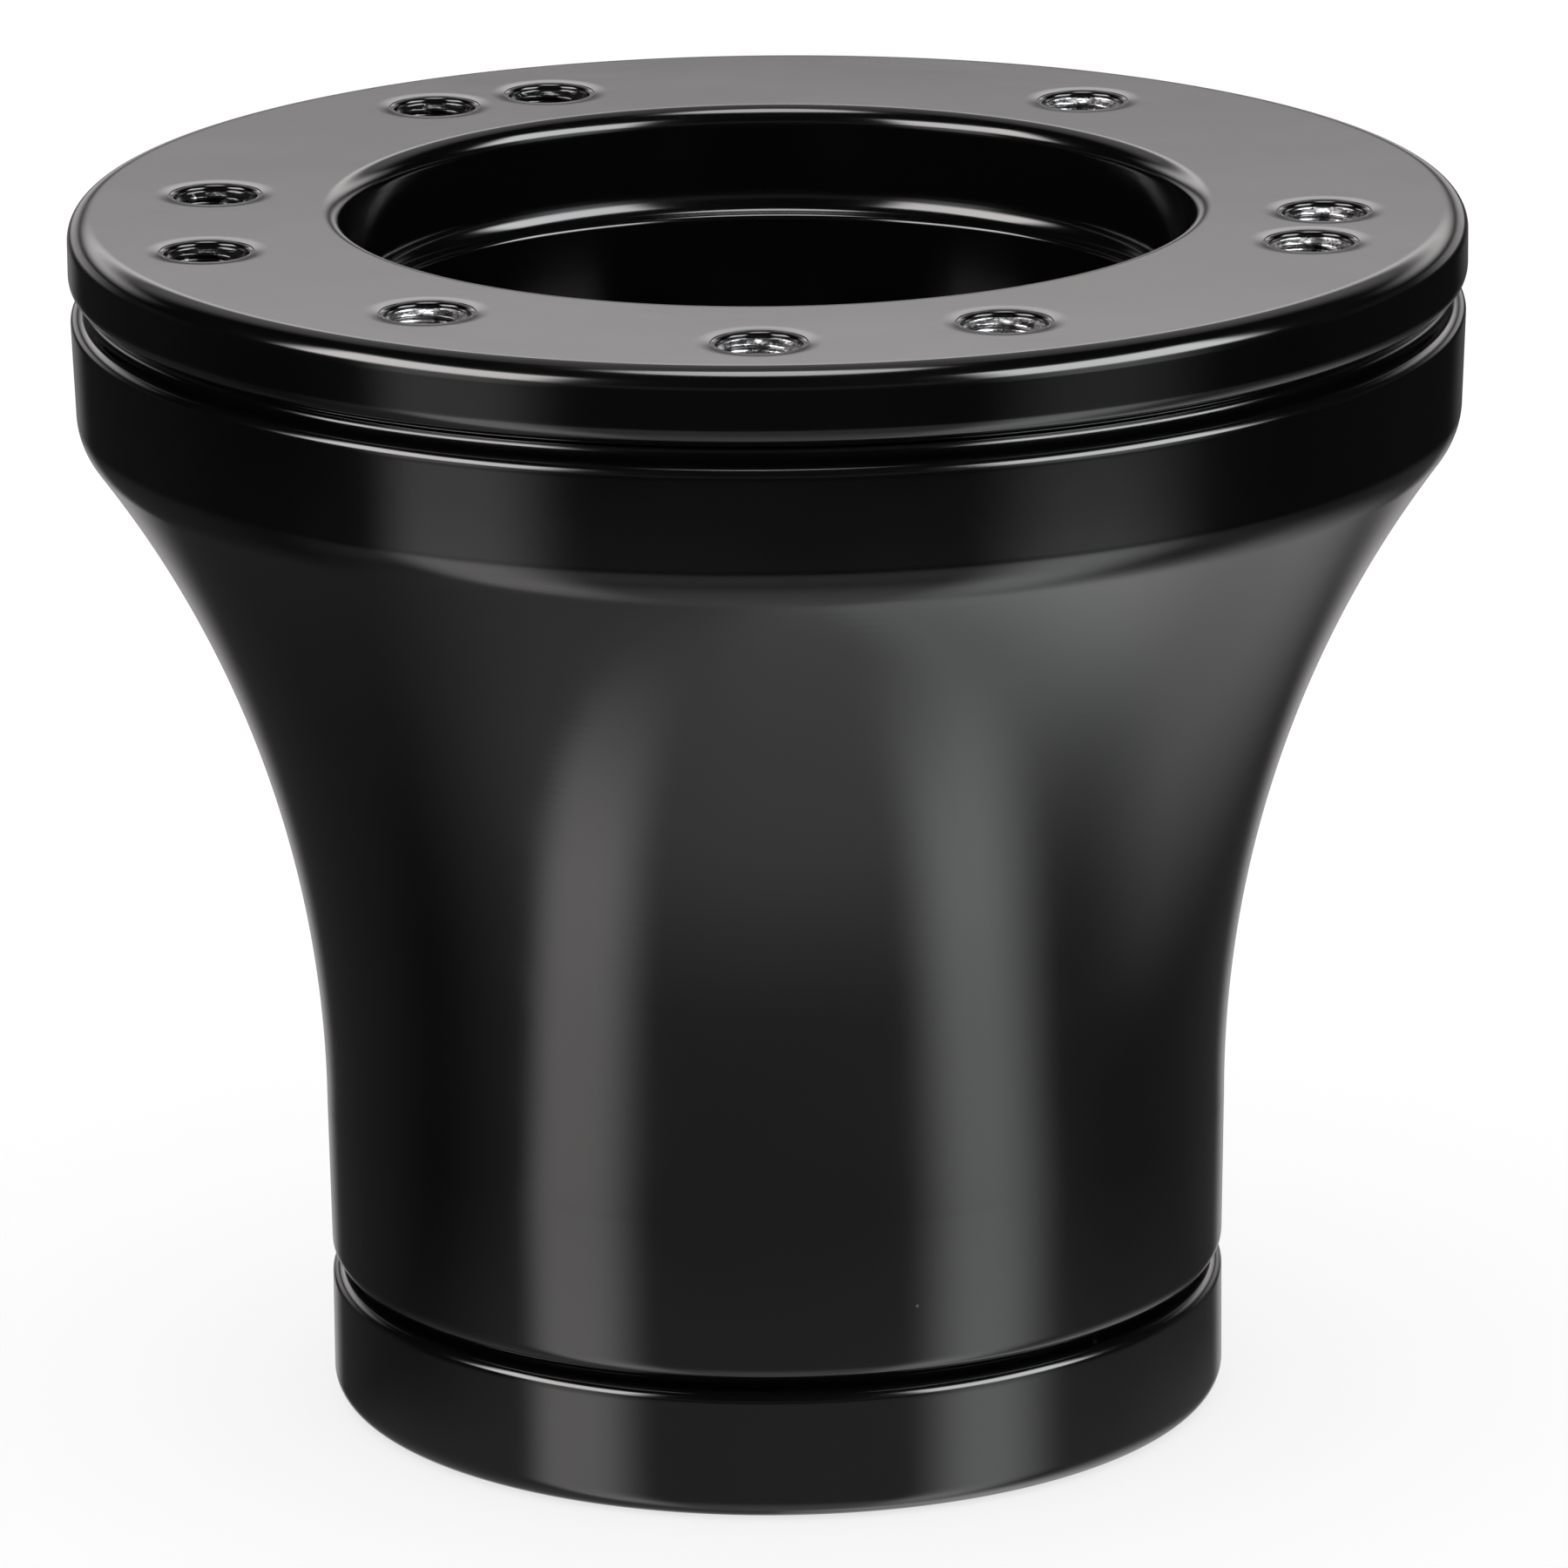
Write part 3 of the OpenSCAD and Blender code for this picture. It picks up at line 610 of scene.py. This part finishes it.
def base_collar():
    """Short collar with a recess below for the cancelling cam."""
    corner, mouth, foot = 0.4, 0.6, 1.4
    section = [(PILOT_R, RECESS_Z)]
    section += arc(RECESS_R - corner, RECESS_Z - corner, corner, 90, 0, 6)
    section += arc(RECESS_R + mouth, mouth, mouth, 180, 270, 8)
    section += arc(COLLAR_R - foot, foot, foot, -90, 0, 16)
    section += groove_floor(COLLAR_R, COLLAR_TOP_Z - 0.15, COLLAR_R - 1.6, SLEEVE_Z)
    section += [(PILOT_R, SLEEVE_Z)]
    section = with_supports(section, closed=True)
    collar = welded("base_collar_coated", [lathe(section, SHELL_SEGMENTS)], [COAT])
    return drilled(collar, (0.0, PLUNGER_Y), TOWER_HOLE_R, RECESS_Z - 1, SLEEVE_Z + 1)


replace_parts(wheel_flange(), "wheel_flange")
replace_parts(flared_sleeve(), "flared_sleeve")
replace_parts(base_collar(), "base_collar")


# ---------------------------------------------------------------- parts inside the hub


def softened(node, width, material):
    """A copy of a CAD node with sharp edges rounded by width millimetres. It stands for the node."""
    bm = bmesh.new()
    bm.from_mesh(nodes[node].data)
    bmesh.ops.remove_doubles(bm, verts=bm.verts, dist=0.001 * MM)
    bmesh.ops.dissolve_limit(bm, angle_limit=math.radians(0.5), verts=bm.verts, edges=bm.edges)
    sharp = [e for e in bm.edges if len(e.link_faces) == 2 and e.calc_face_angle() > math.radians(32)]
    round_off = {"offset": width * MM, "segments": 2, "profile": 0.5, "affect": "EDGES"}
    bmesh.ops.bevel(bm, geom=sharp, clamp_overlap=True, **round_off)
    mesh = bpy.data.meshes.new(node + "_finished")
    bm.to_mesh(mesh)
    bm.free()
    mesh.materials.append(material)
    mesh.polygons.foreach_set("material_index", np.zeros(len(mesh.polygons), np.int32))
    mesh.polygons.foreach_set("use_smooth", np.ones(len(mesh.polygons), bool))
    mesh.set_sharp_from_angle(angle=math.radians(50))
    obj = bpy.data.objects.new(node + "_finished", mesh)
    scene.collection.objects.link(obj)
    weighted = obj.modifiers.new("even_shading", "WEIGHTED_NORMAL")
    weighted.keep_sharp = True
    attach(obj, "hub")
    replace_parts(obj, node)
    return obj


def route_point(points, u):
    """Point u of the way along a smooth curve through the points, as part.scad has it."""
    last = len(points) - 1
    s = min(u * last, last - 0.0001)
    i = int(s)
    t = s - i
    a, b, c, d = (np.array(points[min(max(k, 0), last)], float) for k in (i - 1, i, i + 1, i + 2))
    return 0.5 * (2 * b + (c - a) * t + (2 * a - 5 * b + 4 * c - d) * t**2 + (3 * b - a - 3 * c + d) * t**3)


def tube(name, points, radius, sides, material, up=(0.6, 0.8, 0.02)):
    """A round rod swept along points, with flat ends."""
    count = len(points)
    verts, faces = [], []
    for i in range(count):
        along = points[min(i + 1, count - 1)] - points[max(i - 1, 0)]
        along /= np.linalg.norm(along)
        side = np.cross(along, up)
        side /= np.linalg.norm(side)
        over = np.cross(side, along)
        for k in range(sides):
            a = 2 * math.pi * k / sides
            verts.append(tuple(points[i] + radius * (math.cos(a) * side + math.sin(a) * over)))
    for i in range(count - 1):
        for k in range(sides):
            m = (k + 1) % sides
            faces.append((i * sides + k, i * sides + m, (i + 1) * sides + m, (i + 1) * sides + k))
    faces.append(tuple(range(sides - 1, -1, -1)))
    faces.append(tuple((count - 1) * sides + k for k in range(sides)))
    obj = new_object(name, verts, faces, [material])
    obj.data.set_sharp_from_angle(angle=math.radians(60))
    return obj


LEAD_R, LEAD_STEPS, LEAD_SIDES = 1.1, 110, 18
STAND_R, STAND_GAP = 26.2, 3.5
CLIP_OUT = polar(1.0, math.radians(120))
CLIP_SIDE = (-CLIP_OUT[1], CLIP_OUT[0])
HORN_STAND = tuple(STAND_R * o - STAND_GAP * s for o, s in zip(CLIP_OUT, CLIP_SIDE))
EARTH_STAND = tuple(STAND_R * o + STAND_GAP * s for o, s in zip(CLIP_OUT, CLIP_SIDE))
STAND_HEIGHTS = (44.6, 48, LEAD_TOP_Z)
HORN_ROUTE = [
    (0, PLUNGER_Y, 35.45),
    (0, PLUNGER_Y, 37.4),
    (-1.6, 20.3, 39.6),
    (-5, 22, 41.4),
    (-8.4, 23.6, 43),
    *[(*HORN_STAND, z) for z in STAND_HEIGHTS],
]
EARTH_ROUTE = [
    (*polar(14.2, math.radians(150)), 25),
    (-12.4, 7.2, 28),
    (-13.6, 9.2, 32.5),
    (-15.2, 13.5, 37.5),
    (-16.1, 18.4, 41.8),
    *[(*EARTH_STAND, z) for z in STAND_HEIGHTS],
]
SPRING_LOW_Z, SPRING_R, WIRE_R = 11.0, 1.45, 0.25
TURNS, TURN_STEPS = 9, 40
PIN_SEGMENTS = 64


def lead(name, route, skin):
    """Insulated lead along a smooth route."""
    line = [route_point(route, i / LEAD_STEPS) for i in range(LEAD_STEPS + 1)]
    return tube(name, line, LEAD_R, LEAD_SIDES, skin)


def contact_spring():
    """Wound spring between the plunger's head and the terminal."""
    centre_rise = SPRING_TOP_Z - SPRING_LOW_Z - 2 * WIRE_R
    coil = []
    for i in range(TURNS * TURN_STEPS + 1):
        turn = 2 * math.pi * i / TURN_STEPS
        x, y = -SPRING_R * math.sin(turn), PLUNGER_Y + SPRING_R * math.cos(turn)
        z = SPRING_LOW_Z + WIRE_R + centre_rise * i / (TURNS * TURN_STEPS)
        coil.append(np.array((x, y, z)))
    return tube("plunger_spring_wire", coil, WIRE_R, 12, SPRING_WIRE, up=(0.0, 0.0, 1.0))


def turned_pin():
    """Brass plunger: domed tip, head with broken edges, and a tail inside the spring."""
    (_, _, tip_z), (_, _, tail_z) = extent("plunger_pin")
    tip_r, head_r, tail_r = 1.4, 2.0, 0.8
    stop_z, head_z, broken, tail_edge = 5.65, SPRING_LOW_Z, 0.1, 0.2
    section = arc(0, tip_z + tip_r, tip_r, -90, 0, 14)[1:]
    section += [(tip_r, stop_z), (head_r - broken, stop_z), (head_r, stop_z + broken)]
    section += [(head_r, head_z - broken), (head_r - broken, head_z), (tail_r, head_z)]
    section += [(tail_r, tail_z - tail_edge), (tail_r - tail_edge, tail_z)]
    section = with_supports(section, closed=False, guard=0.04)
    verts, faces = lathe(section, PIN_SEGMENTS, closed=False, centre=(0.0, PLUNGER_Y))
    last_ring, bottom = len(verts) - PIN_SEGMENTS, len(verts)
    verts += [(0, PLUNGER_Y, tip_z), (0, PLUNGER_Y, tail_z)]
    ring = [(k, (k + 1) % PIN_SEGMENTS) for k in range(PIN_SEGMENTS)]
    faces += [(after, k, bottom) for k, after in ring]
    faces += [(last_ring + k, last_ring + after, bottom + 1) for k, after in ring]
    return new_object("plunger_pin_turned", verts, faces, [BRASS], body="plunger")


horn_lead = lead("horn_lead_wire", HORN_ROUTE, RED_SKIN)
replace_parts(horn_lead, "horn_lead")
earth_lead = lead("earth_lead_wire", EARTH_ROUTE, BLACK_SKIN)
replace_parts(earth_lead, "earth_lead")

spring = contact_spring()
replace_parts(spring, "plunger_spring")
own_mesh(spring)

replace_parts(turned_pin(), "plunger_pin")

for node, width, material, slot in (
    ("boss_screws", 0.18, OXIDE, "dark_screw"),
    ("boss_washers", 0.12, ZINC, "zinc_screw"),
    ("flange_screws", 0.15, OXIDE, "dark_screw"),
    ("collar_screws", 0.1, OXIDE, "dark_screw"),
    ("cancel_cam", 0.25, CAM_PLASTIC, "cam_plastic"),
    ("cam_screws", 0.15, ZINC, "zinc_screw"),
    ("plunger_tower", 0.15, TOWER_PLASTIC, "tower_plastic"),
    ("plunger_terminal", 0.12, BRASS, "contact_brass"),
    ("horn_socket", 0.35, RED_SKIN, "red_lead"),
    ("horn_plug", 0.35, RED_SKIN, "red_lead"),
    ("earth_plug", 0.35, BLACK_SKIN, "black_lead"),
    ("earth_tag", 0.1, TIN, "tinned_tag"),
    ("earth_screw", 0.15, ZINC, "zinc_screw"),
    ("lead_clip", 0.3, CLIP_NYLON, "clip_plastic"),
    ("clip_screw", 0.15, ZINC, "zinc_screw"),
):
    softened(node, width, material)

for node, material in (("splined_boss", STEEL), ("flange_dowels", STEEL)):
    nodes[node].data.materials[0] = material


# ---------------------------------------------------------------- floor, world and camera


def disc(name, radius, z, sides=96):
    """A flat round sheet near the floor plane, in metres. It isn't part of the object."""
    verts = [(0.0, 0.0, z)] + [(*polar(radius, 2 * math.pi * k / sides), z) for k in range(sides)]
    faces = [(0, k + 1, (k + 1) % sides + 1) for k in range(sides)]
    mesh = bpy.data.meshes.new(name)
    mesh.from_pydata(verts, [], faces)
    obj = bpy.data.objects.new(name, mesh)
    scene.collection.objects.link(obj)
    return obj


def pale_floor():
    """Pale matte floor, seen by the camera from above only. It catches the soft contact shadow."""
    obj = disc("pale_floor", 6.0, -0.00005)
    obj.visible_glossy = obj.visible_diffuse = obj.visible_shadow = obj.visible_transmission = False
    material = bpy.data.materials.new("pale_floor")
    material.use_nodes = True
    g = Graph(material.node_tree)
    shader = g.tree.nodes["Principled BSDF"]
    place = g.node("ShaderNodeTexCoord").outputs["Object"]
    colour = g.mix(g.noise(place, 3.0), rgb(0.31, 0.31, 0.31), rgb(0.33, 0.33, 0.33))
    g.put(shader.inputs["Base Color"], colour)
    shader.inputs["Emission Color"].default_value = rgb(1.0, 1.0, 1.0)
    shader.inputs["Emission Strength"].default_value = 0.72
    shader.inputs["Roughness"].default_value = 0.9
    shader.inputs["Specular IOR Level"].default_value = 0.0
    back = g.node("ShaderNodeNewGeometry").outputs["Backfacing"]
    clear = g.node("ShaderNodeBsdfTransparent").outputs[0]
    mixed = g.node("ShaderNodeMixShader", {0: back, 1: shader.outputs[0], 2: clear})
    g.put(g.tree.nodes["Material Output"].inputs["Surface"], mixed.outputs[0])
    obj.data.materials.append(material)


def bounce_card():
    """Light that the floor throws back, seen only in gloss. Further out it dims what is under it."""
    obj = disc("bounce_card", 1.2, -0.0001)
    obj.visible_camera = obj.visible_diffuse = obj.visible_shadow = obj.visible_transmission = False
    material = bpy.data.materials.new("bounce_card")
    material.use_nodes = True
    g = Graph(material.node_tree)
    g.tree.nodes.remove(g.tree.nodes["Principled BSDF"])
    x, y, _ = g.xyz(g.node("ShaderNodeTexCoord").outputs["Object"])
    radius, azimuth = g.away(x, y), g.round_degrees(x, y)
    ring = g.times(g.step(radius, 0.1, 0.15, 0.2, 0.42), g.step(radius, 0.18, 0.245, 1.0, 0.0))
    foot = g.step(radius, 0.05, 0.09, 0.08, 0.0)
    left, right = g.step(azimuth, -85.0, -42.0, 0.06, 1.0), g.step(azimuth, 40.0, 105.0, 1.0, 0.1)
    sides = g.times(left, right)
    near = g.times(g.add(ring, foot), sides)
    glow = g.node("ShaderNodeEmission", {"Color": rgb(1.0, 1.0, 1.0), "Strength": near})
    dim = g.mix(g.step(x, -0.05, 0.05), rgb(0.5, 0.5, 0.5), rgb(0.22, 0.22, 0.22))
    through = g.mix(g.step(radius, 0.18, 0.25), rgb(1.0, 1.0, 1.0), dim)
    clear = g.node("ShaderNodeBsdfTransparent", {"Color": through})
    both = g.node("ShaderNodeAddShader", {0: glow.outputs[0], 1: clear.outputs[0]})
    g.put(g.tree.nodes["Material Output"].inputs["Surface"], both.outputs[0])
    obj.data.materials.append(material)


# Soft boxes and fills that gloss sees, in degrees. Azimuth, then elevation: from, to, and the
# softness of each edge. Azimuth 0 is the camera's side and 90 is the object's right. Last, the strength.
SOFT_BOXES = (
    ((-65.0, -40.0, 6.0, 9.0), (-62.0, -16.8, 18.0, 0.7), 1.9),
    ((-65.0, -40.0, 6.0, 9.0), (-16.8, 18.0, 0.7, 3.0), 1.3),
    ((-86.0, -38.0, 6.0, 5.0), (18.0, 43.0, 3.0, 3.0), 12.0),
    ((42.0, 69.0, 10.0, 12.0), (-62.0, -17.0, 18.0, 0.7), 2.0),
    ((42.0, 69.0, 10.0, 12.0), (-17.0, 18.0, 0.7, 3.0), 1.5),
    ((38.0, 88.0, 5.0, 6.0), (18.0, 43.0, 3.0, 3.0), 12.0),
    ((-40.0, 40.0, 12.0, 12.0), (9.0, 20.0, 3.0, 3.0), 0.14),
)
# Lights behind the object: azimuth either way at which they start and are full, elevation, strength
BACK_LIGHTS = (
    ((130.0, 155.0), (26.0, 77.0, 4.0, 4.0), 0.5),
    ((125.0, 150.0), (-5.0, 7.0, 3.0, 3.0), 0.7),
    ((92.0, 120.0), (-60.0, 8.0, 20.0, 1.5), 0.04),
    ((154.0, 168.0), (-50.0, -8.0, 14.0, 3.0), 0.42),
)


def studio():
    """White room for the camera, even light for matte surfaces, and soft boxes on dark for gloss."""
    world = bpy.data.worlds.new("studio")
    scene.world = world
    world.use_nodes = True
    world.cycles.sampling_method = "NONE"
    g = Graph(world.node_tree)
    g.tree.nodes.clear()
    x, y, z = g.xyz(g.node("ShaderNodeTexCoord").outputs["Generated"])
    azimuth = g.round_degrees(x, y)
    turn = g.math("ABSOLUTE", azimuth)
    rise = g.times(g.math("ARCSINE", z), 180 / math.pi)
    # Dim room, a little lighter on the right
    power = g.times(g.step(azimuth, -40.0, 30.0, 0.012, 0.024), g.step(turn, 50.0, 95.0, 1.0, 0.3))
    for across, up, strength in SOFT_BOXES:
        power = g.add(power, g.times(g.band(azimuth, *across), g.band(rise, *up), strength))
    for round_to, up, strength in BACK_LIGHTS:
        power = g.add(power, g.times(g.step(turn, *round_to), g.band(rise, *up), strength))
    # Back wall in the wheel face, floor light under the flare, and a light straight above
    wall = g.times(g.step(rise, 9.0, 18.0, 0.0, 1.95), g.step(rise, 19.0, 27.0, 1.0, 0.0))
    wall = g.times(g.step(turn, 120.0, 150.0), wall)
    under = g.times(g.step(rise, -35.0, -60.0, 0.0, 0.5), g.step(azimuth, -115.0, 0.0, 0.1, 1.0))
    steep, low = g.step(rise, -48.0, -66.0, 0.0, 0.6), g.step(rise, -24.0, -42.0, 0.0, 0.6)
    right_glow = g.times(steep, g.band(azimuth, 62.0, 140.0, 14.0, 20.0))
    right_edge = g.times(low, g.band(azimuth, 100.0, 158.0, 18.0, 12.0))
    zenith = g.step(rise, 75.0, 80.0, 0.0, 9.0)
    power = g.add(power, wall, under, right_glow, right_edge, zenith)
    warm, cool, behind = rgb(1.0, 0.965, 0.955), rgb(0.975, 0.99, 1.0), rgb(1.0, 0.972, 0.968)
    tint = g.mix(g.step(azimuth, -60.0, 60.0), warm, cool)
    tint = g.mix(g.step(turn, 100.0, 150.0), tint, behind)
    gloss = g.node("ShaderNodeBackground", {"Color": tint, "Strength": power})
    even = g.node("ShaderNodeBackground", {"Color": rgb(1.0, 1.0, 1.0), "Strength": 1.0})
    glossy = g.node("ShaderNodeLightPath").outputs["Is Glossy Ray"]
    mixed = g.node("ShaderNodeMixShader", {0: glossy, 1: even.outputs[0], 2: gloss.outputs[0]})
    out = g.node("ShaderNodeOutputWorld")
    g.put(out.inputs["Surface"], mixed.outputs[0])


def photograph_camera():
    """The photograph's viewpoint: 728 mm from the middle of the wheel face, tilted 16 degrees down."""
    tilt, roll = math.radians(16.0287), math.radians(-0.5326)
    spot = Vector((0.711, -709.12, 243.28)) * MM
    right = Vector((1, 0, 0))
    up = Vector((0, math.sin(tilt), math.cos(tilt)))
    back = Vector((0, -math.cos(tilt), math.sin(tilt)))
    turned_right = math.cos(roll) * right + math.sin(roll) * up
    turned_up = -math.sin(roll) * right + math.cos(roll) * up
    data = bpy.data.cameras.new("photograph_camera")
    data.lens, data.sensor_width = 266.0, 36.0
    data.dof.use_dof = False
    data.clip_start, data.clip_end = 0.05, 20.0
    camera = bpy.data.objects.new("photograph_camera", data)
    scene.collection.objects.link(camera)
    axes = Matrix((turned_right, turned_up, back)).transposed()
    camera.matrix_world = Matrix.Translation(spot) @ axes.to_4x4()
    scene.camera = camera


pale_floor()
bounce_card()
studio()
photograph_camera()
scene.view_settings.view_transform = "Standard"
